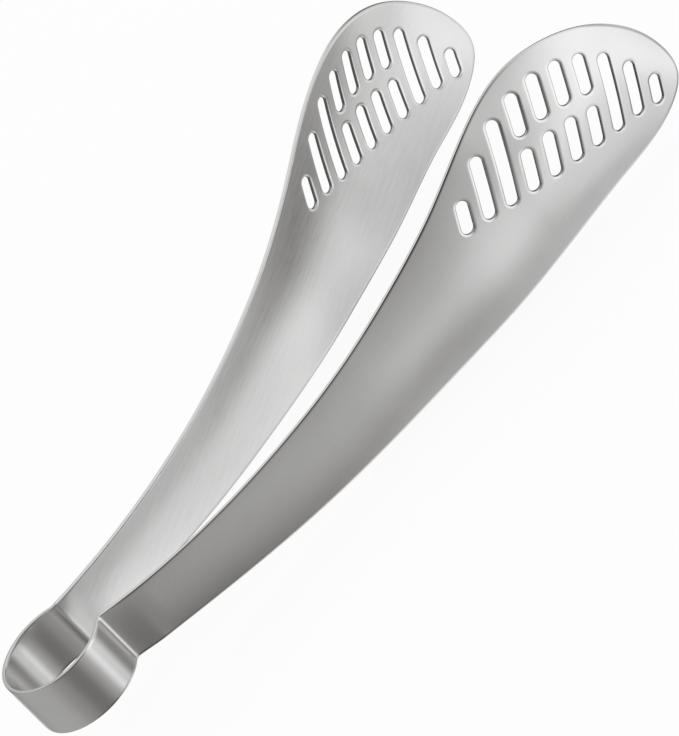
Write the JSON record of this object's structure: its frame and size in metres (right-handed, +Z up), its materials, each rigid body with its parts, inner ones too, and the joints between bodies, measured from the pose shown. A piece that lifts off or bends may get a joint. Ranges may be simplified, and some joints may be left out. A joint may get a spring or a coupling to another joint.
{
  "type": "barbecue tongs",
  "caption": "Sprung steel tongs: straight handles widen into scooped, slotted blades and meet in a round spring loop.",
  "frame": {"origin": "on the axis of the spring loop, halfway across its width", "axes": "+X from the loop to the tips, +Y to the left arm, +Z up with the tongs standing on the long lower edges of both arms"},
  "size_m": [0.2746, 0.1086, 0.0598],
  "materials": {
    "brushed_steel": "fine satin, grain along the strip"
  },
  "bodies": {
    "spring": {"spring_loop": "brushed_steel"},
    "left": {"left_arm": "brushed_steel"},
    "right": {"right_arm": "brushed_steel"}
  },
  "joints": [
    {"name": "left_squeeze", "type": "hinge", "parent": "spring", "child": "left", "pos_m": [0, 0, 0], "axis": [0, 0, -1], "range_deg": [0, 11.45], "stiffness_Nm_per_rad": 8, "deforming": ["spring_loop"]},
    {"name": "right_squeeze", "type": "hinge", "parent": "spring", "child": "right", "pos_m": [0, 0, 0], "axis": [0, 0, 1], "range_deg": [0, 11.45], "stiffness_Nm_per_rad": 8, "deforming": ["spring_loop"]}
  ],
  "couplings": [
    {"joint": "right_squeeze", "follows": "left_squeeze", "ratio": 1}
  ]
}
